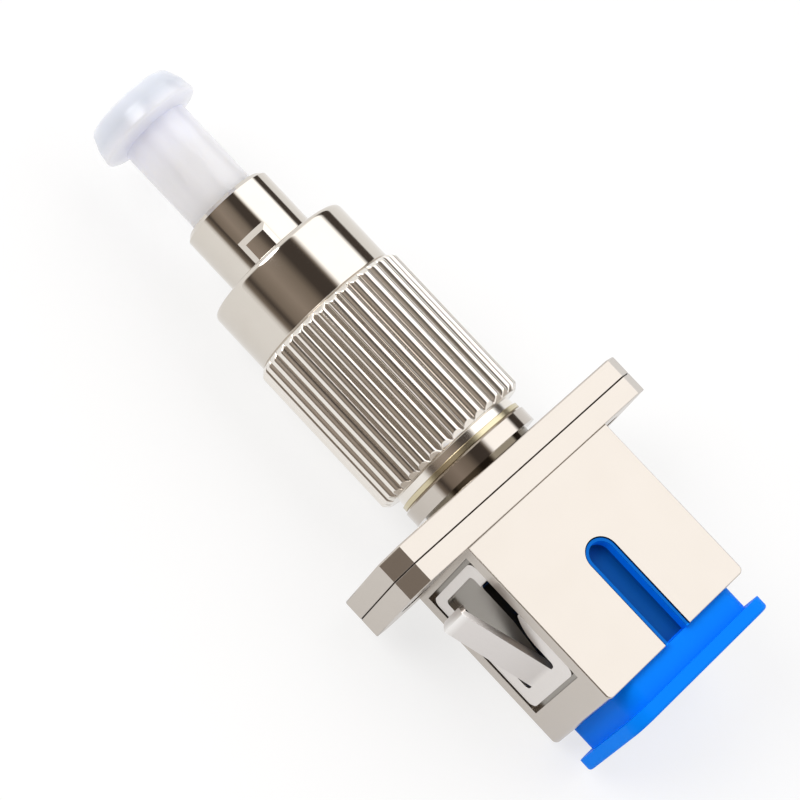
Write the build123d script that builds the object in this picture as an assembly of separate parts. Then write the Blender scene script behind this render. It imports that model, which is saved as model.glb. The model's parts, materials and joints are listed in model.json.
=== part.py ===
from build123d import *
import math
import os

# Hybrid fibre adapter, in millimetres.
# The origin is on the optical axis, at the centre of the flange's rear face, where a panel seats.
# +X points towards the square port, +Y along the flange, +Z towards the port's key slot.

# Fits between pieces
seat_gap = 0.02
run_gap = 0.08

# Flange, made of two plates
flange_length = 22.0
flange_height = 9.4
flange_corner = 1.25
flange_soft_edge = 0.15
seam_soft_edge = 0.08
front_plate_thickness = 1.45
rear_plate_thickness = 1.45
mount_hole_inset = 2.0
mount_hole_diameter = 2.3

# Square port shell
shell_length = 12.4
shell_width = 13.0
shell_height = 9.4
shell_soft_edge = 0.1
shell_mouth_corner = 0.4
port_width = 9.1
port_height = 7.5
port_lead_in = 0.3
slot_width = 2.35
slot_length = 7.8

# Side recess, and the two slots through its wall beside the clip's tongue
recess_start = 0.35
recess_length = 9.75
recess_height = 7.4
recess_depth = 0.42
wall_slot_margin = 0.35
wall_slot_floor = 1.8
wall_slot_floor_end = 1.0
wall_slot_corner = 0.3

# Spring clip
clip_thickness = 0.35
clip_end_margin = 0.32
clip_side_margin = 0.14
clip_corner = 0.6
window_start = 0.95
window_length = 7.4
window_width = 4.8
window_root_width = 4.7
window_corner = 0.35
leg_notch_start = 1.8
leg_notch_length = 2.8
leg_notch_depth = 0.2
leg_width = 0.25
arm_sweep = 2.2
tongue_width = 3.5
tongue_tip_width = 3.4
tongue_tip_corner = 0.5
tongue_root_bend = 0.4
tongue_run = 6.1
tongue_rise = 1.85
tongue_curl_drop = 0.3
tongue_curl_length = 0.45

# Neck on the front plate
neck_diameter = 9.85
neck_length = 1.6
neck_groove_width = 0.4
neck_groove_depth = 0.7
neck_chamfer = 0.18

# Washer between neck and nut
washer_diameter = 9.6
washer_thickness = 0.3

# Coupling nut, from its rear lip to its front collar
nut_lip_diameter = 9.3
nut_lip_length = 0.6
knurl_diameter = 11.4
knurl_length = 11.6
knurl_depth = 0.42
knurl_count = 36
knurl_land_share = 0.2
knurl_floor_share = 0.22
knurl_chamfer = 0.35
collar_diameter = 10.5
collar_length = 4.65
collar_round = 0.45
nut_rear_wall = 3.2
nut_relief_diameter = 8.3
thread_minor_diameter = 7.2
thread_length = 7.0
thread_lead_in = 0.3
nut_travel = 1.5

# Plug body: nose, shoulder, barrel and tail
nose_diameter = 6.5
nose_stand_out = 4.75
nose_chamfer = 0.28
nose_counterbore_diameter = 5.1
nose_counterbore_depth = 3.3
web_thickness = 1.2
web_bore_diameter = 2.8
barrel_diameter = 5.9
tail_diameter = 5.6
tail_length = 2.2
spring_bore_diameter = 4.64
key_width = 2.1
key_setback = 2.85
key_length = 4.4
key_top_radius = 3.54
key_bevel = 0.42
key_bevel_drop = 0.3
key_ramp = 0.45
key_turn = 29.0

# Light path and the parts that hold it
mating_plane = -1.3
ferrule_diameter = 2.5
ferrule_stand_out = 3.5
ferrule_chamfer = 0.3
ferrule_collar_diameter = 4.4
ferrule_collar_length = 3.0
ferrule_collar_flat = 4.0
spring_wire = 0.4
spring_mean_diameter = 3.55
spring_turns = 7
seat_bush_length = 5.5
seat_bush_bore = 2.9
sleeve_diameter = 3.2
sleeve_bore = 2.56
sleeve_length = 11.4
sleeve_slit = 0.35
sleeve_play = 0.1
tube_diameter = 4.6
tube_lip_length = 0.4
tube_lip_bore = 2.8
tube_flange_diameter = 6.4
tube_flange_thickness = 0.5

# Latch holder
latch_base_width = 9.9
latch_base_height = 8.0
latch_base_thickness = 1.2
latch_arm_inner = 3.75
latch_arm_thickness = 0.65
latch_arm_width = 3.0
latch_arm_reach = 8.6
latch_hook_rise = 0.6
latch_hook_length = 1.1
latch_hook_land = 0.3
latch_tip_thickness = 0.45

# Ferrule dust cap
cap_stem_diameter = 4.8
cap_stem_length = 6.5
cap_stem_entry = 2.0
cap_head_diameter = 7.3
cap_head_middle_diameter = 7.0
cap_head_face_diameter = 6.2
cap_head_length = 2.4
cap_head_back_slope = 0.35
cap_head_middle = 1.0
cap_head_back_round = 0.22
cap_head_middle_round = 1.2
cap_head_face_round = 0.2
cap_bore_clearance = 0.05
cap_end_space = 0.6

# Port dust cap
plug_cap_flange_width = 12.8
plug_cap_flange_height = 9.8
plug_cap_flange_thickness = 0.9
plug_cap_flange_corner = 1.4
plug_cap_collar_width = 11.0
plug_cap_collar_height = 8.6
plug_cap_collar_length = 1.7
plug_cap_collar_corner = 1.3
plug_cap_soft_edge = 0.22
plug_cap_clearance = 0.08
plug_cap_reach = 8.6
plug_cap_full_length = 3.2
plug_cap_waist_width = 6.0
plug_cap_bore = 5.4
plug_cap_bore_depth = 7.4
key_rib_wall = 0.2
key_rib_recess = 0.06

# Places worked out from the sizes above: the fixing holes, then stations along the axis
mount_hole_y = flange_length / 2 - mount_hole_inset
seam_x = -rear_plate_thickness
front_face_x = seam_x - front_plate_thickness
neck_front_x = front_face_x - neck_length
washer_front_x = neck_front_x - washer_thickness
nut_rear_x = washer_front_x
knurl_rear_x = nut_rear_x - nut_lip_length
knurl_front_x = knurl_rear_x - knurl_length
nut_front_x = knurl_front_x - collar_length
nose_front_x = nut_front_x - nose_stand_out
nut_lip_face_x = nut_rear_x - nut_rear_wall
shoulder_x = nut_lip_face_x - nut_travel - seat_gap
thread_rear_x = nut_front_x + thread_length
web_front_x = nose_front_x + nose_counterbore_depth
web_rear_x = web_front_x + web_thickness
tail_rear_x = neck_front_x + tail_length
ferrule_front_x = nose_front_x - ferrule_stand_out
collar_front_x = web_rear_x
collar_rear_x = collar_front_x + ferrule_collar_length
sleeve_front_x = mating_plane - sleeve_length / 2
sleeve_rear_x = mating_plane + sleeve_length / 2
seat_rear_x = sleeve_front_x - sleeve_play
seat_front_x = seat_rear_x - seat_bush_length
tube_rear_x = sleeve_rear_x + sleeve_play + tube_lip_length
latch_rear_x = seam_x + latch_base_thickness
stem_rear_x = nose_front_x + cap_stem_entry
stem_front_x = nose_front_x - cap_stem_length
head_front_x = stem_front_x - cap_head_length
mouth_x = shell_length
cap_collar_rear_x = mouth_x + plug_cap_collar_length
cap_flange_rear_x = cap_collar_rear_x + plug_cap_flange_thickness


def section_at(x):
    """Plane across the optical axis at a station, to draw a cross-section on."""
    return Plane(origin=(x, 0, 0), x_dir=(0, 1, 0), z_dir=(1, 0, 0))


def turned(*points):
    """Solid of revolution about the axis, from (x, radius) points of its half section."""
    outline = [(x, radius) for x, radius in points]
    return revolve(make_face(Polyline(*outline, close=True)), axis=Axis.X)


def ring(x_start, x_end, outer_diameter, inner_diameter):
    """Plain ring or tube between two stations."""
    inner = inner_diameter / 2
    outer = outer_diameter / 2
    return turned((x_start, inner), (x_start, outer), (x_end, outer), (x_end, inner))


def rod(x_start, x_end, diameter):
    """Plain solid cylinder between two stations."""
    radius = diameter / 2
    return turned((x_start, 0), (x_start, radius), (x_end, radius), (x_end, 0))


def bar(x_start, x_end, width, height, corner=0.0):
    """Bar along the axis with a rectangular section, centred on it, corners rounded if asked."""
    outline = RectangleRounded(width, height, corner) if corner > 0 else Rectangle(width, height)
    return extrude(section_at(x_start) * outline, amount=x_end - x_start)


def block(x_start, x_end, y_start, y_end, z_start, z_end):
    """Block between stated planes."""
    size = (x_end - x_start, y_end - y_start, z_end - z_start)
    centre = ((x_start + x_end) / 2, (y_start + y_end) / 2, (z_start + z_end) / 2)
    return Pos(*centre) * Box(*size)


def mount_holes(x_start, x_end):
    """The two fixing holes that go through both plates."""
    hole = extrude(section_at(x_start) * Circle(mount_hole_diameter / 2), amount=x_end - x_start)
    return [Pos(0, side * mount_hole_y, 0) * hole for side in (-1, 1)]


def flange_plate(x_start, x_end, front_soft_edge, rear_soft_edge):
    """One flange plate: a bar with chamfered corners and soft rims."""
    plate = bar(x_start, x_end, flange_length, flange_height)
    plate = chamfer(plate.edges().filter_by(Axis.X), flange_corner)
    plate = fillet(plate.faces().sort_by(Axis.X)[0].outer_wire().edges(), front_soft_edge)
    return fillet(plate.faces().sort_by(Axis.X)[-1].outer_wire().edges(), rear_soft_edge)


def front_housing():
    """Front flange plate with the round neck that carries the plug body."""
    plate = flange_plate(front_face_x, seam_x, flange_soft_edge, seam_soft_edge)
    neck_radius = neck_diameter / 2
    groove_radius = neck_radius - neck_groove_depth
    groove_front_x = front_face_x - neck_groove_width
    neck = turned(
        (neck_front_x, 0),
        (neck_front_x, neck_radius - neck_chamfer),
        (neck_front_x + neck_chamfer, neck_radius),
        (groove_front_x, neck_radius),
        (groove_front_x, groove_radius),
        (front_face_x, groove_radius),
        (front_face_x, 0),
    )
    body = plate + neck
    body -= rod(neck_front_x, seam_x, tail_diameter + 2 * seat_gap)
    for hole in mount_holes(front_face_x, seam_x):
        body -= hole
    return body


def side_cuts():
    """Recess for the clip and the two slots through its wall, on one side (-Y)."""
    half_width = shell_width / 2
    recess = block(
        recess_start,
        recess_start + recess_length,
        -half_width - seat_gap,
        -half_width + recess_depth,
        -recess_height / 2,
        recess_height / 2,
    )
    start = recess_start + leg_notch_start
    bend = start + leg_notch_length
    end = recess_start + window_start + window_length
    top = recess_height / 2 - wall_slot_margin
    outline = make_face(Polyline(
        (start, wall_slot_floor),
        (bend, wall_slot_floor),
        (end, wall_slot_floor_end),
        (end, top),
        (start, top),
        close=True,
    ))
    outline = fillet(outline.vertices(), wall_slot_corner)
    side = Plane(origin=(0, -half_width, 0), x_dir=(1, 0, 0), z_dir=(0, -1, 0))
    slot = extrude(side * outline, amount=-(shell_width - port_width) / 2 - seat_gap)
    return recess + slot + slot.mirror(Plane.XY)


def key_slot(width, x_end, z_start, z_end):
    """Block along the port's key slot, as wide as stated, with the slot's round front end."""
    centre_x = mouth_x - slot_length + slot_width / 2
    body = block(centre_x, x_end, -width / 2, width / 2, z_start, z_end)
    return body + Pos(centre_x, 0, (z_start + z_end) / 2) * Cylinder(width / 2, z_end - z_start)


def rear_housing():
    """Rear flange plate and the square port shell with its key slot and side recesses."""
    plate = flange_plate(seam_x, 0, seam_soft_edge, seam_soft_edge)
    shell = bar(0, mouth_x, shell_width, shell_height)
    shell = fillet(shell.edges().filter_by(Axis.Z).group_by(Axis.X)[-1], shell_mouth_corner)
    for side in (Axis.Z, Axis.Z.reverse()):
        shell = fillet(shell.faces().sort_by(side)[-1].edges(), shell_soft_edge)
    body = plate + shell
    body -= bar(latch_rear_x, mouth_x, port_width, port_height)
    body -= bar(seam_x, latch_rear_x, latch_base_width + 2 * seat_gap, latch_base_height + 2 * seat_gap)
    mouth = body.faces().sort_by(Axis.X)[-1].inner_wires()[0].edges()
    body = chamfer(mouth, port_lead_in)
    body -= key_slot(slot_width, mouth_x + seat_gap, 0, shell_height / 2 + seat_gap)
    cuts = side_cuts()
    body -= cuts
    body -= cuts.mirror(Plane.XZ)
    for hole in mount_holes(seam_x, 0):
        body -= hole
    return body


def coupling_nut():
    """Knurled nut with a plain front collar, a threaded front bore and an inward rear wall."""
    collar_r = collar_diameter / 2
    knurl_r = knurl_diameter / 2
    lip_r = nut_lip_diameter / 2
    outer = turned(
        (nut_rear_x, 0),
        (nut_rear_x, lip_r),
        (knurl_rear_x, lip_r),
        (knurl_rear_x, knurl_r - knurl_chamfer),
        (knurl_rear_x - knurl_chamfer, knurl_r),
        (knurl_front_x + knurl_chamfer, knurl_r),
        (knurl_front_x, knurl_r - knurl_chamfer),
        (knurl_front_x, collar_r),
        (nut_front_x, collar_r),
        (nut_front_x, 0),
    )
    front_edge = outer.edges().filter_by(GeomType.CIRCLE).sort_by(Axis.X)[0]
    outer = fillet(front_edge, collar_round)
    half_pitch = knurl_r * math.tan(math.pi / knurl_count)
    top_half = half_pitch * (1 - knurl_land_share)
    floor_half = half_pitch * knurl_floor_share
    slope = (top_half - floor_half) / knurl_depth
    groove_floor = knurl_r - knurl_depth
    overcut = knurl_depth / 4
    groove_top = knurl_r + overcut
    over_half = top_half + slope * overcut
    groove = make_face(Polyline(
        (-over_half, groove_top),
        (-floor_half, groove_floor),
        (floor_half, groove_floor),
        (over_half, groove_top),
        close=True,
    ))
    groove = extrude(section_at(knurl_front_x) * groove, amount=knurl_length)
    grooves = [Rot(index * 360 / knurl_count, 0, 0) * groove for index in range(knurl_count)]
    outer = outer - grooves
    bore = turned(
        (nut_front_x, 0),
        (nut_front_x, thread_minor_diameter / 2 + thread_lead_in),
        (nut_front_x + thread_lead_in, thread_minor_diameter / 2),
        (thread_rear_x, thread_minor_diameter / 2),
        (thread_rear_x, nut_relief_diameter / 2),
        (nut_lip_face_x, nut_relief_diameter / 2),
        (nut_lip_face_x, barrel_diameter / 2 + run_gap),
        (nut_rear_x, barrel_diameter / 2 + run_gap),
        (nut_rear_x, 0),
    )
    return outer - bore


def nut_washer():
    """Thin flat ring between the nut's lip and the neck."""
    return ring(washer_front_x, neck_front_x, washer_diameter, barrel_diameter + 2 * run_gap)


def plug_key():
    """Raised key on the nose: a curved top, bevelled sides and a ramp at its front."""
    front_x = nose_front_x + key_setback
    rear_x = front_x + key_length
    root_radius = nose_diameter / 2 - key_ramp / 2
    top_half = key_width / 2 - key_bevel
    side_z = math.sqrt(key_top_radius ** 2 - top_half ** 2)
    outline = make_face(Polyline(
        (-key_width / 2, 0),
        (-key_width / 2, side_z - key_bevel_drop),
        (-top_half, key_top_radius),
        (top_half, key_top_radius),
        (key_width / 2, side_z - key_bevel_drop),
        (key_width / 2, 0),
        close=True,
    ))
    key = extrude(section_at(front_x) * outline, amount=key_length)
    ramped = turned(
        (front_x, root_radius),
        (front_x, nose_diameter / 2),
        (front_x + key_ramp, key_top_radius),
        (rear_x, key_top_radius),
        (rear_x, root_radius),
    )
    return Rot(key_turn, 0, 0) * (key & ramped)


def fc_plug_body():
    """Nose with its key, the shoulder that the nut pulls on, the barrel and the tail in the neck."""
    nose_r = nose_diameter / 2
    counterbore_r = nose_counterbore_diameter / 2
    web_r = web_bore_diameter / 2
    bore_r = spring_bore_diameter / 2
    body = turned(
        (nose_front_x, counterbore_r),
        (nose_front_x, nose_r - nose_chamfer),
        (nose_front_x + nose_chamfer, nose_r),
        (shoulder_x, nose_r),
        (shoulder_x, barrel_diameter / 2),
        (neck_front_x, barrel_diameter / 2),
        (neck_front_x, tail_diameter / 2),
        (tail_rear_x, tail_diameter / 2),
        (tail_rear_x, bore_r),
        (web_rear_x, bore_r),
        (web_rear_x, web_r),
        (web_front_x, web_r),
        (web_front_x, counterbore_r),
    )
    return body + plug_key()


def ferrule():
    """Long ceramic stub with chamfered ends."""
    radius = ferrule_diameter / 2
    return turned(
        (ferrule_front_x, 0),
        (ferrule_front_x, radius - ferrule_chamfer),
        (ferrule_front_x + ferrule_chamfer, radius),
        (mating_plane - ferrule_chamfer, radius),
        (mating_plane, radius - ferrule_chamfer),
        (mating_plane, 0),
    )


def ferrule_collar():
    """Metal ring on the ferrule, with two flats."""
    collar = ring(collar_front_x, collar_rear_x, ferrule_collar_diameter, ferrule_diameter + 2 * seat_gap)
    flats = bar(collar_front_x, collar_rear_x, ferrule_collar_diameter, ferrule_collar_flat)
    return collar & flats


def ferrule_spring():
    """Coil spring between the collar and the seat, its ends half a wire inside them."""
    start_x = collar_rear_x + spring_wire / 2 + seat_gap
    end_x = seat_front_x - spring_wire / 2 - seat_gap
    pitch = (end_x - start_x) / spring_turns
    radius = spring_mean_diameter / 2
    path = Helix(pitch=pitch, height=end_x - start_x, radius=radius, center=(start_x, 0, 0), direction=(1, 0, 0))
    wire_section = Plane(origin=path @ 0, z_dir=path % 0) * Circle(spring_wire / 2)
    return sweep(wire_section, path=path)


def spring_seat():
    """Bush that backs the spring and stops the sleeve."""
    return ring(seat_front_x, seat_rear_x, spring_bore_diameter - 2 * seat_gap, seat_bush_bore)


def split_sleeve():
    """Ceramic tube with one lengthwise slit."""
    sleeve = ring(sleeve_front_x, sleeve_rear_x, sleeve_diameter, sleeve_bore)
    slit = block(sleeve_front_x, sleeve_rear_x, -sleeve_slit / 2, sleeve_slit / 2, 0, sleeve_diameter)
    return sleeve - slit


def sleeve_tube():
    """Tube round the split sleeve, with a flange at the seam and an inward lip at the port end."""
    outer = tube_diameter / 2
    inner = sleeve_diameter / 2 + sleeve_play / 2
    lip_face_x = tube_rear_x - tube_lip_length
    return turned(
        (seat_rear_x, inner),
        (seat_rear_x, outer),
        (seam_x, outer),
        (seam_x, tube_flange_diameter / 2),
        (seam_x + tube_flange_thickness, tube_flange_diameter / 2),
        (seam_x + tube_flange_thickness, outer),
        (tube_rear_x, outer),
        (tube_rear_x, tube_lip_bore / 2),
        (lip_face_x, tube_lip_bore / 2),
        (lip_face_x, inner),
    )


def latch_arm():
    """One hook arm on the +Y side: a flat beam with an inward hook and a ramp at its tip."""
    outer = latch_arm_inner + latch_arm_thickness
    hook_y = latch_arm_inner - latch_hook_rise
    hook_start = latch_arm_reach - latch_hook_length
    profile = make_face(Polyline(
        (latch_rear_x - seat_gap, latch_arm_inner),
        (hook_start, latch_arm_inner),
        (hook_start, hook_y),
        (hook_start + latch_hook_land, hook_y),
        (latch_arm_reach, outer - latch_tip_thickness),
        (latch_arm_reach, outer),
        (latch_rear_x - seat_gap, outer),
        close=True,
    ))
    return extrude(profile, amount=latch_arm_width / 2, both=True)


def latch_holder():
    """Base plate clamped at the seam, with two hook arms that grip the mating plug."""
    base = bar(seam_x, latch_rear_x, latch_base_width, latch_base_height)
    arm = latch_arm()
    holder = base + arm + arm.mirror(Plane.XZ)
    holder -= rod(seam_x, latch_rear_x, tube_diameter + 2 * seat_gap)
    holder -= rod(seam_x, seam_x + tube_flange_thickness + seat_gap, tube_flange_diameter + 2 * seat_gap)
    return holder


def clip_window(x_start, x_end, wide_half):
    """Window of the clip: narrow at its start, wide beside the thin legs, then swept in to the root."""
    notch_start = recess_start + leg_notch_start
    notch_end = notch_start + leg_notch_length
    root_half = window_root_width / 2
    corner = (notch_end + arm_sweep, root_half)
    line = [
        Line((x_start, 0), (x_start, window_width / 2)),
        Line((x_start, window_width / 2), (notch_start, window_width / 2)),
        Line((notch_start, window_width / 2), (notch_start, wide_half)),
        Line((notch_start, wide_half), (notch_end, wide_half)),
        TangentArc((notch_end, wide_half), corner, tangent=(-1, 0), tangent_from_first=False),
        Line(corner, (x_end, root_half)),
        Line((x_end, root_half), (x_end, 0)),
        Line((x_end, 0), (x_start, 0)),
    ]
    half = make_face(Wire(line))
    window = half + half.mirror(Plane.XZ)
    ends = window.vertices().group_by(Axis.X)
    return fillet(ends[0] + ends[-1], window_corner)


def clip_tongue(root_x, floor, face):
    """Tongue cut from the sheet: bent out at its root, tapered, with a curled and rounded tip."""
    tip_x = root_x - tongue_run
    tip_y = face - tongue_rise
    side = make_face(Polyline(
        (root_x, floor),
        (root_x - tongue_root_bend, floor),
        (tip_x, tip_y + clip_thickness),
        (tip_x - tongue_curl_length, tip_y + clip_thickness + tongue_curl_drop),
        (tip_x - tongue_curl_length, tip_y + tongue_curl_drop),
        (tip_x, tip_y),
        (root_x, face),
        close=True,
    ))
    tongue = extrude(side, amount=tongue_width / 2, both=True)
    tip_end = tip_x - tongue_curl_length
    taper = make_face(Polyline(
        (root_x, tongue_width / 2),
        (tip_end, tongue_tip_width / 2),
        (tip_end, -tongue_tip_width / 2),
        (root_x, -tongue_width / 2),
        close=True,
    ))
    taper = fillet(taper.vertices().group_by(Axis.X)[0], tongue_tip_corner)
    sheet = Plane(origin=(0, floor, 0), x_dir=(1, 0, 0), z_dir=(0, -1, 0))
    return tongue & extrude(sheet * taper, amount=tongue_rise + clip_thickness)


def spring_clip():
    """Clip for the -Y side: a framed plate whose tongue is cut free and bent outwards."""
    plate_start = recess_start + clip_end_margin
    plate_length = recess_length - 2 * clip_end_margin
    plate_height = recess_height - 2 * clip_side_margin
    floor = -shell_width / 2 + recess_depth
    face = floor - clip_thickness
    sheet = Plane(origin=(0, floor, 0), x_dir=(1, 0, 0), z_dir=(0, -1, 0))
    window_x = recess_start + window_start
    window_end = window_x + window_length
    plate = Pos(plate_start + plate_length / 2, 0) * RectangleRounded(plate_length, plate_height, clip_corner)
    window = clip_window(window_x, window_end, plate_height / 2 - leg_width)
    frame = extrude(sheet * (plate - window), amount=clip_thickness)
    notch_start = recess_start + leg_notch_start
    notch_end = notch_start + leg_notch_length
    frame -= block(notch_start, notch_end, face - seat_gap, face + leg_notch_depth, -plate_height, plate_height)
    return frame + clip_tongue(window_end, floor, face)


def fc_dust_cap():
    """Stem with a blind bore that grips the ferrule, and a wide head with soft edges."""
    stem_r = cap_stem_diameter / 2
    bore_r = ferrule_diameter / 2 + cap_bore_clearance
    bore_end_x = ferrule_front_x - cap_end_space
    head_r = cap_head_diameter / 2
    middle_r = cap_head_middle_diameter / 2
    face_r = cap_head_face_diameter / 2
    back_x = stem_front_x - cap_head_back_slope
    middle_x = head_front_x + cap_head_middle
    cap = turned(
        (stem_rear_x, bore_r),
        (stem_rear_x, stem_r),
        (stem_front_x, stem_r),
        (back_x, head_r),
        (middle_x, middle_r),
        (head_front_x, face_r),
        (head_front_x, 0),
        (bore_end_x, 0),
        (bore_end_x, bore_r),
    )
    rounds = (
        (back_x, cap_head_back_round),
        (middle_x, cap_head_middle_round),
        (head_front_x, cap_head_face_round),
    )
    for x, radius in rounds:
        rims = cap.edges().filter_by(GeomType.CIRCLE)
        cap = fillet(rims.filter_by_position(Axis.X, x - seat_gap, x + seat_gap), radius)
    return cap


def key_rib(plug_top):
    """Open-topped key on the cap: a thin wall round the inside of the housing's key slot."""
    rib_top = shell_height / 2 - key_rib_recess
    rib_width = slot_width - 2 * plug_cap_clearance
    rib = key_slot(rib_width, mouth_x, plug_top, rib_top)
    return rib - key_slot(rib_width - 2 * key_rib_wall, mouth_x, plug_top, rib_top)


def sc_dust_cap():
    """Blue cap: flange, collar, plug with its key, and a bored waist between the latch arms."""
    flange = bar(cap_collar_rear_x, cap_flange_rear_x, plug_cap_flange_width, plug_cap_flange_height,
                 plug_cap_flange_corner)
    for face in (flange.faces().sort_by(Axis.X)[0], flange.faces().sort_by(Axis.X)[-1]):
        flange = fillet(face.edges(), plug_cap_soft_edge)
    collar = bar(mouth_x, cap_collar_rear_x, plug_cap_collar_width, plug_cap_collar_height,
                 plug_cap_collar_corner)
    plug_height = port_height - 2 * plug_cap_clearance
    full_x = mouth_x - plug_cap_full_length
    reach_x = mouth_x - plug_cap_reach
    plug = bar(full_x, mouth_x, port_width - 2 * plug_cap_clearance, plug_height)
    waist = bar(reach_x, full_x, plug_cap_waist_width, plug_height)
    bore_end_x = reach_x + plug_cap_bore_depth
    cap = flange + collar + plug + waist - rod(reach_x, bore_end_x, plug_cap_bore)
    return cap + key_rib(plug_height / 2)


def main():
    os.makedirs("parts", exist_ok=True)
    left_clip = spring_clip()
    pieces = {
        "front_housing": front_housing(),
        "rear_housing": rear_housing(),
        "coupling_nut": coupling_nut(),
        "nut_washer": nut_washer(),
        "fc_plug_body": fc_plug_body(),
        "spring_clip_left": left_clip,
        "spring_clip_right": left_clip.mirror(Plane.XZ),
        "latch_holder": latch_holder(),
        "sleeve_tube": sleeve_tube(),
        "split_sleeve": split_sleeve(),
        "spring_seat": spring_seat(),
        "ferrule": ferrule(),
        "ferrule_collar": ferrule_collar(),
        "ferrule_spring": ferrule_spring(),
        "fc_dust_cap": fc_dust_cap(),
        "sc_dust_cap": sc_dust_cap(),
    }
    for name, piece in pieces.items():
        export_step(piece, "parts/" + name + ".step")
        print(name, round(piece.volume, 2))


main()
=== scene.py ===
import json
import math

import bmesh
import bpy
import numpy as np
from mathutils import Matrix, Vector

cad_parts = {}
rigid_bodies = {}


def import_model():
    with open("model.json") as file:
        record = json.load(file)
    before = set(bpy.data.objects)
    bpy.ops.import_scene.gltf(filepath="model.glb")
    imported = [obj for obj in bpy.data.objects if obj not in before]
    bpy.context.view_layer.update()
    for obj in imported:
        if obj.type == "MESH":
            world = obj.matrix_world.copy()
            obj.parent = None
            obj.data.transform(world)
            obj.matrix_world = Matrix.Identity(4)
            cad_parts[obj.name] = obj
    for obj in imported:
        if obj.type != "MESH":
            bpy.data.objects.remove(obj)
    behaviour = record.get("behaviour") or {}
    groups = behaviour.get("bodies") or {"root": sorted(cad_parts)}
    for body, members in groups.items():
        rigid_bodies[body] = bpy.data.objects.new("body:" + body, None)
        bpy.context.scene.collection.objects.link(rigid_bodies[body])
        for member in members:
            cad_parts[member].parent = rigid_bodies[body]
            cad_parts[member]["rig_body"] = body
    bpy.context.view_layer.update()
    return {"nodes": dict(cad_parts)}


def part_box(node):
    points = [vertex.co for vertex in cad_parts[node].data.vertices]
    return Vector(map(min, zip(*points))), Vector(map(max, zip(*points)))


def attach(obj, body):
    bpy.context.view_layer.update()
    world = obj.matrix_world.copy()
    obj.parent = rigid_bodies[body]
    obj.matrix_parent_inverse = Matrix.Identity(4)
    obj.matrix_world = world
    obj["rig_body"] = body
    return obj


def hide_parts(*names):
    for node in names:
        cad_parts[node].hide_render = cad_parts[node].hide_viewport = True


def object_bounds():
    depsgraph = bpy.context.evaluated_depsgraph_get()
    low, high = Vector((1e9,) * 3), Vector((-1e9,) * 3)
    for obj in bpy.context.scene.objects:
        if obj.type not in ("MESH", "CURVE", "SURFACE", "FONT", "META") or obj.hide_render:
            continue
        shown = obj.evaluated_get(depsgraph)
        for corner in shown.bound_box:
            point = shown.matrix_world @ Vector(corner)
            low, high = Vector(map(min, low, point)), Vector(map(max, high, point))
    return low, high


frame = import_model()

# Everything below is in metres, in the frame of the CAD model; sizes are written in millimetres.
MM = 0.001
nodes = frame["nodes"]

# Where the photograph was taken from: the lens and its picture's width, and the camera's aim
CAMERA_LENS = 135.0
PICTURE_WIDTH = 36.0
CAMERA_DISTANCE = 187.0 * MM
CAMERA_AIM = Vector((-9.85, -0.48, 0.18)) * MM
CAMERA_AZIMUTH = 10.03
CAMERA_ELEVATION = 61.05
CAMERA_ROLL = 38.04
NEAREST_SEEN = 0.01
FARTHEST_SEEN = 10.0

# Housing: the turned neck in front of the flange, the clip recesses and the groove at the neck's foot, both
# darkened with painted shade, and the dark joint between the plates
NECK_LENGTH = 1.6 * MM
RECESS_MIDDLE = 5.2 * MM
RECESS_HALF_LENGTH = 5.0 * MM
RECESS_FLOOR = 6.45 * MM
RECESS_TOP = 3.68 * MM
SEAM_SHADE = 0.05 * MM
GROOVE_WIDTH = 0.4 * MM

# Spring clip: how far out its plate lies, and how far the tongue rises from there; painted shade and a
# painted highlight are laid along that rise
TONGUE_ROOT = 6.35 * MM
TONGUE_RISE = 1.9 * MM

# Ferrule cap: its head, given painted shade that makes it darker than the stem
CAP_HEAD_LENGTH = 2.4 * MM

# Port cap: the floor and the top edge of the key's rib, which get painted shade, and where the slot ends
SLOT_HALF_WIDTH = 0.95 * MM
SLOT_FLOOR = 3.6 * MM
SLOT_SHADE = 0.35 * MM
SLOT_END = 12.3 * MM
RIB_TOP = 4.64 * MM
RIB_SHADE = 0.05 * MM

# Copies of CAD nodes: how near vertices and how even faces are made one, which edges stay sharp, and
# the clips' softened edge. The key on the nose has shallow slopes, so there more edges stay sharp.
WELD = 0.0005 * MM
FLAT_DEGREES = 0.5
SHARP_DEGREES = 38.0
KEY_SHARP_DEGREES = 18.0
CLIP_EDGE = 0.1 * MM
EDGE_SEGMENTS = 3

# Nickel plate, with the slightly darker tone of its clouds
NICKEL = (0.68, 0.64, 0.585, 1)
NICKEL_CLOUD = (0.64, 0.595, 0.535, 1)

# Coupling nut, in millimetres: radii, lengths from its ends, and the thread inside its front end
KNURL_RADIUS = 5.7
KNURL_DEPTH = 0.42
KNURL_BEVEL = 0.35
KNURL_ROUNDNESS = 0.93
KNURL_COUNT = 36
KNURL_STEPS = 14
KNURL_BLEND = 0.02
NUT_COLLAR = 4.65
NUT_COLLAR_RADIUS = 5.25
NUT_COLLAR_ROUND = 0.45
NUT_COLLAR_ROUND_STEPS = 8
NUT_COLLAR_CHAMFER = 0.12
NUT_EDGE_ROUND = 0.06
NUT_EDGE_ROUND_STEPS = 3
NUT_LIP = 0.6
NUT_LIP_RADIUS = 4.65
NUT_BORE = 3.03
NUT_REAR_WALL = 3.2
NUT_RELIEF = 4.15
THREAD_MINOR = 3.6
THREAD_DEPTH = 0.4
THREAD_LENGTH = 7.0
THREAD_PITCH = 0.75
THREAD_LEAD = 0.3
THREAD_STEPS = 6
HAIR = 0.01

# The nut's rounded corners reach along each side by this share of it at most
CORNER_SHARE = 0.45

# The nut's end bevels, in millimetres: a line of the section is cut finer when it is one of them
BEVEL_STEPS = 5
BEVEL_SLACK = 0.05
BEVEL_SHORTEST = 0.15
BEVEL_LONGEST = 1.0

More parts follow.
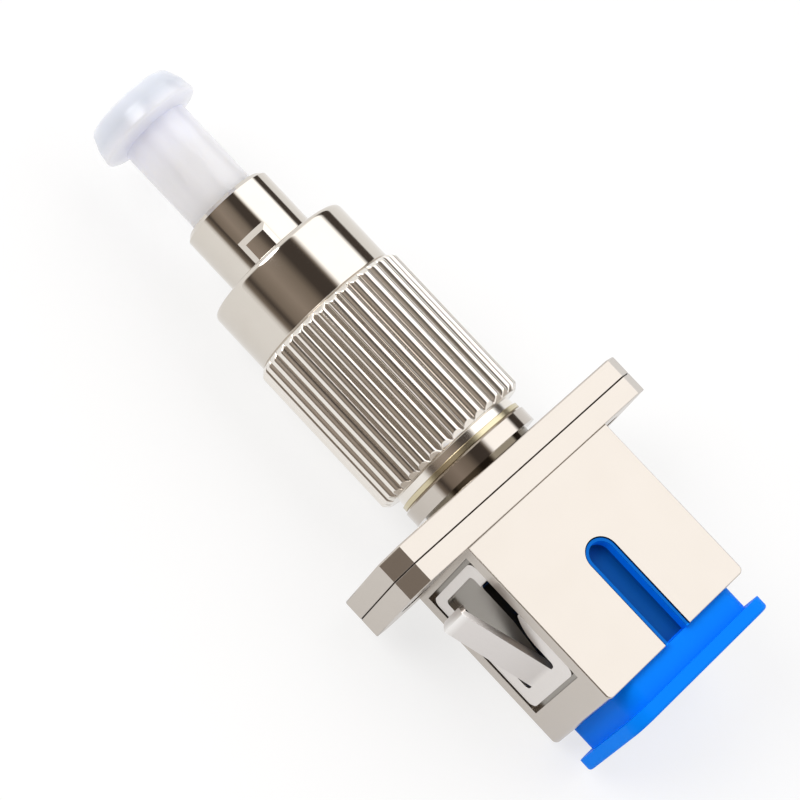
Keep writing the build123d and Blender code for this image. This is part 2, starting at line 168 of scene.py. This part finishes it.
# Studio
FLOOR_RADIUS = 2.0
FLOOR_SIDES = 96
FLOOR_GAP = 0.05 * MM
FLOOR_GLOW = 0.72
WORLD_STRENGTH = 1.75
KEY_DIRECTION = Vector((-0.55, -0.45, 0.7))
KEY_DISTANCE = 0.6
KEY_SIZE = 0.35
KEY_POWER = 1.6
END_START = 0.42
END_RISE = 4.0


class Wire:
    """A value in a material's node tree. Arithmetic on it adds Math nodes."""

    def __init__(self, look, socket):
        self.look = look
        self.socket = socket

    def __add__(self, other):
        return self.look.maths("ADD", self, other)

    def __sub__(self, other):
        return self.look.maths("SUBTRACT", self, other)

    def __rsub__(self, other):
        return self.look.maths("SUBTRACT", other, self)

    def __mul__(self, other):
        return self.look.maths("MULTIPLY", self, other)

    def __truediv__(self, other):
        return self.look.maths("DIVIDE", self, other)

    __radd__ = __add__
    __rmul__ = __mul__


class Look:
    """A node tree with one method that adds any node, and shorthands for the kinds used most."""

    def __init__(self, owner):
        self.owner = owner
        owner.use_nodes = True
        self.tree = owner.node_tree

    def node(self, kind, sockets=None, settings=None, stops=None, output=0):
        """Adds a node, makes its settings first, then gives each named input its value or link."""
        made = self.tree.nodes.new(kind)
        for name, value in (settings or {}).items():
            setattr(made, name, value)
        if stops:
            ramp = made.color_ramp
            while len(ramp.elements) < len(stops):
                ramp.elements.new(1.0)
            for element, (place, colour) in zip(ramp.elements, stops):
                element.position = place
                element.color = (*colour, 1.0)
        for name, value in (sockets or {}).items():
            self.feed(made.inputs[name], value)
        return Wire(self, made.outputs[output])

    def feed(self, socket, value):
        """Gives an input socket a link or a plain value."""
        if isinstance(value, Wire):
            self.tree.links.new(value.socket, socket)
        else:
            socket.default_value = value

    def maths(self, operation, first, second=0.0, clamp=False):
        """A Math node on one or two values."""
        settings = {"operation": operation, "use_clamp": clamp}
        return self.node("ShaderNodeMath", {0: first, 1: second}, settings)

    def mix(self, share, first, second):
        """Mixes two colours by a share from 0 to 1. The node has them as inputs 6 and 7, output 2."""
        sockets = {"Factor": share, 6: first, 7: second}
        return self.node("ShaderNodeMix", sockets, {"data_type": "RGBA"}, output=2)

    def place(self, kind="Object"):
        """The place on the piece, in metres, or in the world the direction looked in."""
        return self.node("ShaderNodeTexCoord", output=kind)

    def axis(self, name, kind="Object"):
        """One coordinate of a place or a direction."""
        return self.node("ShaderNodeSeparateXYZ", {0: self.place(kind)}, output=name)

    def within(self, value, reach):
        """1 where a value lies less than reach from 0, and 0 elsewhere."""
        return self.maths("LESS_THAN", self.maths("ABSOLUTE", value), reach)

    def noise(self, scale, detail=2.0, stretch=(1.0, 1.0, 1.0)):
        """Noise from 0 to 1 with features of about 1/scale metres, squeezed along the axes by stretch."""
        spread = self.node("ShaderNodeMapping", {"Vector": self.place(), "Scale": stretch})
        return self.node("ShaderNodeTexNoise", {"Vector": spread, "Scale": scale, "Detail": detail})

    def ramp(self, value, stops):
        """Colours along a value from 0 to 1, each stop being a place and a colour."""
        return self.node("ShaderNodeValToRGB", {"Fac": value}, stops=stops)


class Finish(Look):
    """A material, with its Principled shader's constants given by keyword."""

    def __init__(self, name, **sockets):
        super().__init__(bpy.data.materials.new(name))
        self.shader = self.tree.nodes["Principled BSDF"]
        for socket, value in sockets.items():
            self.set(socket.replace("_", " "), value)

    def set(self, socket, value):
        """Gives the shader's own input a link or a plain value."""
        names = {s.name.lower(): s.name for s in self.shader.inputs}
        self.feed(self.shader.inputs[names[socket.lower()]], value)

    def bump(self, height, depth):
        """Dents the surface by a height from 0 to 1, depth in metres."""
        dent = self.node("ShaderNodeBump", {"Height": height, "Distance": depth, "Strength": 1.0})
        self.set("Normal", dent)


def bright_nickel():
    """Nickel plate on turned brass: faint rings round the axis and soft cloudy patches."""
    finish = Finish("bright_nickel", metallic=1.0)
    rings = finish.noise(9000.0, stretch=(1.0, 0.02, 0.02))
    clouds = finish.noise(500.0, detail=3.0)
    finish.set("Roughness", 0.07 + 0.01 * rings + 0.03 * clouds)
    finish.set("Base Color", finish.mix(clouds, NICKEL, NICKEL_CLOUD))
    return finish


def rolled_nickel():
    """The same plate on the nut: polished on its plain collar, softer where the knurl was rolled, and given
    painted light there that makes the knurl lighter.
    """
    finish = Finish("rolled_nickel", metallic=1.0)
    clouds = finish.noise(500.0, detail=3.0)
    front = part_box("coupling_nut")[0].x + NUT_COLLAR * MM
    on_knurl = finish.maths("GREATER_THAN", finish.axis("X"), front)
    finish.set("Roughness", 0.07 + 0.03 * clouds + 0.09 * on_knurl)
    plain = finish.mix(clouds, NICKEL, NICKEL_CLOUD)
    # Painted light: the knurl gets a lighter colour than the plain collar, though both are one plate
    finish.set("Base Color", finish.mix(on_knurl, plain, (0.82, 0.78, 0.725, 1)))
    return finish


def satin_nickel():
    """Nickel plate on a die casting: an even soft shine, and a polished finish on the turned neck. Painted
    shade darkens the floors of the clip recesses and the groove at the neck's foot.
    """
    finish = Finish("satin_nickel", metallic=1.0)
    grain = finish.noise(9000.0, detail=1.0)
    clouds = finish.noise(350.0, detail=3.0)
    on_neck = finish.maths("LESS_THAN", finish.axis("X"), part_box("front_housing")[0].x + NECK_LENGTH)
    finish.set("Roughness", 0.23 + 0.01 * grain + 0.04 * clouds - 0.17 * on_neck)
    plate = finish.mix(clouds, (0.565, 0.52, 0.474, 1), (0.553, 0.507, 0.458, 1))
    along, across, up = (finish.axis(name) for name in "XYZ")
    # Painted shade: the floors of the clip recesses get a darker colour
    recess_painted_shade = finish.within(along - RECESS_MIDDLE, RECESS_HALF_LENGTH) * finish.within(across, RECESS_FLOOR)
    plate = finish.mix(recess_painted_shade * finish.within(up, RECESS_TOP), plate, (0.33, 0.31, 0.28, 1))
    joint = finish.within(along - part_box("rear_housing")[0].x, SEAM_SHADE)
    # Painted shade: a dark band is painted in the groove at the neck's foot
    from_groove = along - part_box("front_housing")[0].x - NECK_LENGTH + 0.5 * GROOVE_WIDTH
    groove_painted_shade = finish.within(from_groove, 0.49 * GROOVE_WIDTH)
    plate = finish.mix(groove_painted_shade, plate, (0.16, 0.135, 0.10, 1))
    finish.set("Base Color", finish.mix(joint, plate, (0.10, 0.08, 0.065, 1)))
    return finish


def spring_sheet():
    """Rolled spring steel with fine straight lines. The tongue's colour carries painted shade at its root
    and a painted highlight at its tip.
    """
    finish = Finish("spring_sheet", metallic=1.0)
    lines = finish.noise(6000.0, stretch=(0.04, 1.0, 1.0))
    finish.set("Roughness", 0.26 + 0.10 * lines)
    rise = (finish.maths("ABSOLUTE", finish.axis("Y")) - TONGUE_ROOT) / TONGUE_RISE
    # Painted shade and highlight: darker at the tongue's root bend, near white at its tip
    tongue_painted_shade_and_highlight = finish.ramp(rise, (
        (0.0, (0.80, 0.765, 0.735)),
        (0.03, (0.80, 0.765, 0.735)),
        (0.10, (0.62, 0.585, 0.56)),
        (0.45, (0.70, 0.665, 0.645)),
        (0.93, (0.74, 0.705, 0.685)),
        (1.0, (0.95, 0.93, 0.91)),
    ))
    finish.set("Base Color", finish.mix(0.08 * lines, tongue_painted_shade_and_highlight, (0.5, 0.48, 0.46, 1)))
    return finish


def yellow_metal():
    """Pale yellow metal of the washer."""
    finish = Finish("yellow_metal", metallic=1.0)
    rings = finish.noise(8000.0, stretch=(1.0, 0.02, 0.02))
    finish.set("Roughness", 0.20 + 0.08 * rings)
    finish.set("Base Color", finish.mix(rings, (0.66, 0.59, 0.41, 1), (0.60, 0.53, 0.36, 1)))
    return finish


def drawn_wire():
    """Bright drawn spring wire."""
    finish = Finish("drawn_wire", metallic=1.0)
    lines = finish.noise(5000.0)
    finish.set("Roughness", 0.28 + 0.1 * lines)
    finish.set("Base Color", finish.mix(lines, (0.58, 0.57, 0.55, 1), (0.5, 0.49, 0.47, 1)))
    return finish


def white_ceramic():
    """Polished zirconia."""
    finish = Finish("white_ceramic", ior=2.1)
    clouds = finish.noise(700.0)
    finish.set("Roughness", 0.12 + 0.05 * clouds)
    finish.set("Base Color", finish.mix(clouds, (0.86, 0.85, 0.81, 1), (0.83, 0.81, 0.77, 1)))
    return finish


def dark_plastic():
    """Matt dark moulding of the latch holder."""
    finish = Finish("dark_plastic")
    grain = finish.noise(5000.0)
    finish.set("Roughness", 0.5 + 0.15 * grain)
    finish.set("Base Color", finish.mix(grain, (0.035, 0.04, 0.05, 1), (0.05, 0.055, 0.065, 1)))
    finish.bump(grain, 0.01 * MM)
    return finish


def milky_plastic():
    """Soft translucent white moulding: light goes a little way into it."""
    finish = Finish("milky_plastic", subsurface_weight=1.0, subsurface_scale=3.0 * MM,
                    subsurface_radius=(1.0, 1.05, 1.15), coat_weight=0.4, coat_roughness=0.15, coat_ior=1.6)
    clouds = finish.noise(400.0, detail=3.0)
    finish.set("Roughness", 0.34 + 0.08 * clouds)
    stem = finish.mix(clouds, (0.75, 0.755, 0.825, 1), (0.77, 0.775, 0.845, 1))
    past_head = finish.axis("X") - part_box("fc_dust_cap")[0].x
    on_stem = finish.maths("SUBTRACT", past_head / CAP_HEAD_LENGTH, 0.5, clamp=True) * 2.0
    # Painted shade: the head gets a darker colour than the stem, though the cap is one moulding
    finish.set("Base Color", finish.mix(on_stem, (0.56, 0.585, 0.645, 1), stem))
    return finish


def azure_plastic():
    """Azure moulding with a dull skin: a very fine grain and hardly any shine."""
    finish = Finish("azure_plastic", ior=1.46, specular_ior_level=0.05)
    skin = finish.noise(6000.0)
    clouds = finish.noise(300.0, detail=3.0)
    finish.set("Roughness", 0.46 + 0.08 * clouds)
    moulding = finish.mix(clouds, (0.0, 0.22, 0.95, 1), (0.0, 0.205, 0.91, 1))
    along, across, up = (finish.axis(name) for name in "XYZ")
    # Painted shade: the slot's floor inside the port gets a darker blue
    slot_floor_painted_shade = finish.within(across, SLOT_HALF_WIDTH) * finish.within(up - SLOT_FLOOR, SLOT_SHADE)
    in_port = finish.maths("LESS_THAN", along, SLOT_END)
    # Painted shade: the top edge of the key's rib inside the port gets a darker blue
    rib_top_painted_shade = finish.within(up - RIB_TOP, RIB_SHADE)
    moulding = finish.mix(rib_top_painted_shade * in_port, moulding, (0.001, 0.13, 0.56, 1))
    finish.set("Base Color", finish.mix(slot_floor_painted_shade * in_port, moulding, (0.003, 0.085, 0.33, 1)))
    finish.bump(skin, 0.002 * MM)
    return finish


def dress(node, finish):
    """Gives a CAD node its finish."""
    slots = nodes[node].material_slots
    if not slots:
        nodes[node].data.materials.append(finish.owner)
    for slot in slots:
        slot.material = finish.owner


def finished_copy(node, finish, edge=0.0, sharp=SHARP_DEGREES):
    """A welded copy of a CAD node with its flat faces whole, smooth round faces and softened edges."""
    source = nodes[node]
    mesh = source.data.copy()
    work = bmesh.new()
    work.from_mesh(mesh)
    bmesh.ops.remove_doubles(work, verts=work.verts, dist=WELD)
    flat = math.radians(FLAT_DEGREES)
    bmesh.ops.dissolve_limit(work, angle_limit=flat, verts=work.verts, edges=work.edges)
    for face in work.faces:
        face.smooth = True
    for line in work.edges:
        line.smooth = line.is_manifold and line.calc_face_angle(0.0) < math.radians(sharp)
    work.to_mesh(mesh)
    work.free()
    piece = bpy.data.objects.new(node + "_finish", mesh)
    bpy.context.scene.collection.objects.link(piece)
    mesh.materials.clear()
    mesh.materials.append(finish.owner)
    if edge:
        soften = piece.modifiers.new("soften", "BEVEL")
        soften.width = edge
        soften.segments = EDGE_SEGMENTS
        soften.limit_method = "ANGLE"
        soften.angle_limit = math.radians(sharp)
        soften.harden_normals = True
    else:
        weight = piece.modifiers.new("weight", "WEIGHTED_NORMAL")
        weight.keep_sharp = True
    settle(piece, source["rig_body"], node)


def ring_surface(name, grid, finish):
    """A closed tube of quads from a grid of points: rows follow one another, columns go round and meet."""
    rows, columns = grid.shape[:2]
    row, column = np.meshgrid(np.arange(rows), np.arange(columns), indexing="ij")
    below, beside = (row + 1) % rows, (column + 1) % columns
    corners = ((row, column), (row, beside), (below, beside), (below, column))
    faces = np.stack([r * columns + c for r, c in corners], -1).reshape(-1, 4)
    mesh = bpy.data.meshes.new(name)
    mesh.vertices.add(rows * columns)
    mesh.vertices.foreach_set("co", grid.astype(np.float32).ravel())
    mesh.loops.add(faces.size)
    mesh.loops.foreach_set("vertex_index", faces.astype(np.int32).ravel())
    mesh.polygons.add(len(faces))
    mesh.polygons.foreach_set("loop_start", np.arange(0, faces.size, 4, dtype=np.int32))
    mesh.update(calc_edges=True)
    mesh.validate()
    mesh.polygons.foreach_set("use_smooth", np.ones(len(mesh.polygons), bool))
    mesh.materials.append(finish.owner)
    piece = bpy.data.objects.new(name, mesh)
    bpy.context.scene.collection.objects.link(piece)
    return piece


def rounded(points, radius, steps):
    """Polyline in (x, r) whose inner corners are replaced by quadratic arcs that start radius away."""
    out = [points[0]]
    for before, here, after in zip(points, points[1:], points[2:]):
        back = (before - here) / np.linalg.norm(before - here)
        on = (after - here) / np.linalg.norm(after - here)
        sides = np.linalg.norm(before - here), np.linalg.norm(after - here)
        reach = min(radius, CORNER_SHARE * sides[0], CORNER_SHARE * sides[1])
        first, last = here + back * reach, here + on * reach
        for t in np.linspace(0, 1, steps + 1):
            out.append(first * (1 - t) ** 2 + here * 2 * t * (1 - t) + last * t ** 2)
    out.append(points[-1])
    return out


def knurled_nut(finish):
    """Coupling nut with a rolled straight knurl.

    A half section of (x, r) points is turned about the X axis. Over the knurl, radius r becomes
    min(r, R - depth * v(a)), where v is 1 in a valley and 0 on a ridge's crest: with u the distance from
    the crest as a share of half the pitch, v follows a circular arc, so ridges are round and valleys
    sharp. The minimum is a soft one, so each ridge ends in a small arch on the end chamfers.
    """
    low, high = (np.array(corner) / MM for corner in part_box("coupling_nut"))
    front, rear, outer = low[0], high[0], KNURL_RADIUS
    knurl_front, knurl_rear = front + NUT_COLLAR, rear - NUT_LIP
    profile = [np.array(point, float) for point in (
        (front, THREAD_MINOR + THREAD_LEAD),
        (front, NUT_COLLAR_RADIUS),
        (knurl_front - NUT_COLLAR_CHAMFER, NUT_COLLAR_RADIUS),
        (knurl_front, NUT_COLLAR_RADIUS - NUT_COLLAR_CHAMFER),
        (knurl_front, outer - KNURL_BEVEL),
        (knurl_front + KNURL_BEVEL, outer),
        (knurl_rear - KNURL_BEVEL, outer),
        (knurl_rear, outer - KNURL_BEVEL),
        (knurl_rear, NUT_LIP_RADIUS),
        (rear, NUT_LIP_RADIUS),
        (rear, NUT_BORE),
        (rear - NUT_REAR_WALL, NUT_BORE),
        (rear - NUT_REAR_WALL, NUT_RELIEF),
        (front + THREAD_LENGTH, NUT_RELIEF),
    )]
    edges = rounded(profile[:3], NUT_COLLAR_ROUND, NUT_COLLAR_ROUND_STEPS)[:-1]
    edges += rounded(profile[1:], NUT_EDGE_ROUND, NUT_EDGE_ROUND_STEPS)[1:]
    fine = []
    for here, after in zip(edges, edges[1:]):
        high_up = min(here[1], after[1]) > NUT_COLLAR_RADIUS - BEVEL_SLACK
        length = np.linalg.norm(after - here)
        on_bevel = high_up and abs(here[0] - after[0]) < BEVEL_LONGEST and length > BEVEL_SHORTEST
        steps = BEVEL_STEPS if on_bevel else 1
        fine += [here + (after - here) * k / steps for k in range(steps)]
    fine.append(edges[-1])
    x, r = np.array(fine).T

    turns = np.linspace(0, 2 * np.pi, KNURL_COUNT * KNURL_STEPS, endpoint=False)
    place = (turns * KNURL_COUNT / (2 * np.pi) + 0.5) % 1.0
    from_crest = np.abs(place - 0.5) * 2
    arc = 1 - np.sqrt(1 - (KNURL_ROUNDNESS * from_crest) ** 2)
    valley = outer - KNURL_DEPTH * arc / arc.max()
    knurled = (x > knurl_front - HAIR) & (x < knurl_rear + HAIR)
    radius = np.repeat(r[:, None], turns.size, axis=1)
    apart = np.sqrt((radius - valley) ** 2 + KNURL_BLEND ** 2)
    lower = 0.5 * (radius + valley - apart) + 0.5 * KNURL_BLEND
    lower = np.minimum(lower, radius)
    radius = np.where(knurled[:, None], lower, radius)

    thread_rear = front + THREAD_LENGTH
    thread_x = np.arange(front + THREAD_LEAD, thread_rear, THREAD_PITCH / THREAD_STEPS)[::-1]
    phase = (thread_x[:, None] / THREAD_PITCH + turns / (2 * np.pi)) % 1.0
    from_end = np.minimum(thread_x - front - THREAD_LEAD, thread_rear - thread_x)
    fade = np.clip(from_end / THREAD_PITCH, 0, 1)
    thread = THREAD_MINOR + THREAD_DEPTH * fade[:, None] * (1 - np.abs(2 * phase - 1))
    x_all = np.concatenate([x, thread_x])
    radius = np.concatenate([radius, thread])
    across = radius * np.sin(turns)
    up = radius * np.cos(turns)
    grid = np.stack([np.repeat(x_all[:, None], turns.size, axis=1), across, up], -1) * MM
    piece = ring_surface("knurled_nut", grid, finish)
    settle(piece, nodes["coupling_nut"]["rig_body"], "coupling_nut")


def settle(piece, body, *replaced):
    """Makes a piece ride on its body and stand for the CAD nodes that it replaces."""
    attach(piece, body)
    if replaced:
        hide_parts(*replaced)


def studio_world():
    """Light that depends on direction alone.

    Round the X axis it is a white strip overhead, dusky above the near side and pale low down. Far towards
    either end of the X axis it turns evenly bright, so that front edges and chamfers shine.
    """
    world = bpy.data.worlds.new("studio")
    bpy.context.scene.world = world
    look = Look(world)
    along, across, up = (look.axis(name, "Generated") for name in "XYZ")
    share = look.maths("ARCTAN2", across, up) / (2 * math.pi) + 0.5
    pale = (0.52, 0.51, 0.50)
    dusk = (0.205, 0.17, 0.142)
    brown = (0.14, 0.115, 0.093)
    dark = (0.04, 0.032, 0.027)
    white = (1.0, 1.0, 1.0)
    degrees = (
        (-180, pale), (-88, pale), (-82, brown), (-74, dark), (-66, brown), (-46, dusk), (-26, brown),
        (-14, dark), (5, dark), (8, brown), (15, white), (66, white), (73, dark), (88, dark),
        (94, pale), (180, pale),
    )
    round_axis = look.ramp(share, [(angle / 360 + 0.5, colour) for angle, colour in degrees])
    near_end = look.maths("MULTIPLY", look.maths("ABSOLUTE", along) - END_START, END_RISE, clamp=True)
    colour = look.mix(near_end, round_axis, (0.59, 0.58, 0.57, 1))
    background = look.tree.nodes["Background"]
    look.feed(background.inputs["Color"], colour)
    background.inputs["Strength"].default_value = WORLD_STRENGTH


def studio_floor():
    """Plain pale floor just under the part. It glows in views and reflections, and keeps the shadow."""
    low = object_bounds()[0].z - FLOOR_GAP
    turns = np.linspace(0, 2 * np.pi, FLOOR_SIDES, endpoint=False)
    height = np.full(FLOOR_SIDES, low)
    rim = np.stack([FLOOR_RADIUS * np.cos(turns), FLOOR_RADIUS * np.sin(turns), height], 1)
    mesh = bpy.data.meshes.new("floor")
    mesh.from_pydata(rim.tolist(), [], [list(range(FLOOR_SIDES))])
    floor = bpy.data.objects.new("floor", mesh)
    bpy.context.scene.collection.objects.link(floor)
    finish = Finish("pale_floor", roughness=0.9, base_color=(0.92, 0.92, 0.92, 1), specular_ior_level=0.0)
    glow = finish.node("ShaderNodeEmission", {"Color": (1, 1, 1, 1), "Strength": 1.0})
    seen, mirrored, through = (
        finish.node("ShaderNodeLightPath", output=kind)
        for kind in ("Is Camera Ray", "Is Glossy Ray", "Is Transmission Ray"))
    share = FLOOR_GLOW * (seen + mirrored + through)
    matt = Wire(finish, finish.shader.outputs[0])
    both = finish.node("ShaderNodeMixShader", {0: share, 1: matt, 2: glow})
    finish.feed(finish.tree.nodes["Material Output"].inputs["Surface"], both)
    mesh.materials.append(finish.owner)


def key_lamp():
    """One large soft lamp above the near side of the front end, clear of what the flat tops mirror."""
    data = bpy.data.lights.new("key", "AREA")
    data.shape = "DISK"
    data.size = KEY_SIZE
    data.energy = KEY_POWER
    lamp = bpy.data.objects.new("key", data)
    bpy.context.scene.collection.objects.link(lamp)
    towards = KEY_DIRECTION.normalized()
    lamp.location = towards * KEY_DISTANCE
    lamp.rotation_euler = towards.to_track_quat("Z", "Y").to_euler()


def camera():
    """Camera at the photograph's viewing angle, rolled as the photograph is."""
    data = bpy.data.cameras.new("camera")
    data.sensor_width = PICTURE_WIDTH
    data.lens = CAMERA_LENS
    data.clip_start = NEAREST_SEEN
    data.clip_end = FARTHEST_SEEN
    view = bpy.data.objects.new("camera", data)
    bpy.context.scene.collection.objects.link(view)
    azimuth, elevation, roll = (math.radians(a) for a in (CAMERA_AZIMUTH, CAMERA_ELEVATION, CAMERA_ROLL))
    turned = (Matrix.Rotation(azimuth, 4, "Z") @ Matrix.Rotation(math.pi / 2 - elevation, 4, "X")
              @ Matrix.Rotation(roll, 4, "Z"))
    back = turned @ Vector((0, 0, 1))
    view.matrix_world = Matrix.Translation(CAMERA_AIM + back * CAMERA_DISTANCE) @ turned
    bpy.context.scene.camera = view


def main():
    bpy.context.scene.view_settings.view_transform = "Standard"
    nickel, satin, sheet = bright_nickel(), satin_nickel(), spring_sheet()
    ceramic, milky, azure = white_ceramic(), milky_plastic(), azure_plastic()
    finished_copy("front_housing", satin)
    finished_copy("rear_housing", satin)
    knurled_nut(rolled_nickel())
    finished_copy("fc_plug_body", nickel, sharp=KEY_SHARP_DEGREES)
    finished_copy("spring_clip_left", sheet, edge=CLIP_EDGE)
    finished_copy("spring_clip_right", sheet, edge=CLIP_EDGE)
    finished_copy("fc_dust_cap", milky)
    finished_copy("sc_dust_cap", azure)
    finished_copy("nut_washer", yellow_metal())
    dress("latch_holder", dark_plastic())
    for node in ("sleeve_tube", "spring_seat", "ferrule_collar"):
        dress(node, nickel)
    for node in ("split_sleeve", "ferrule"):
        dress(node, ceramic)
    dress("ferrule_spring", drawn_wire())
    studio_world()
    studio_floor()
    key_lamp()
    camera()


main()
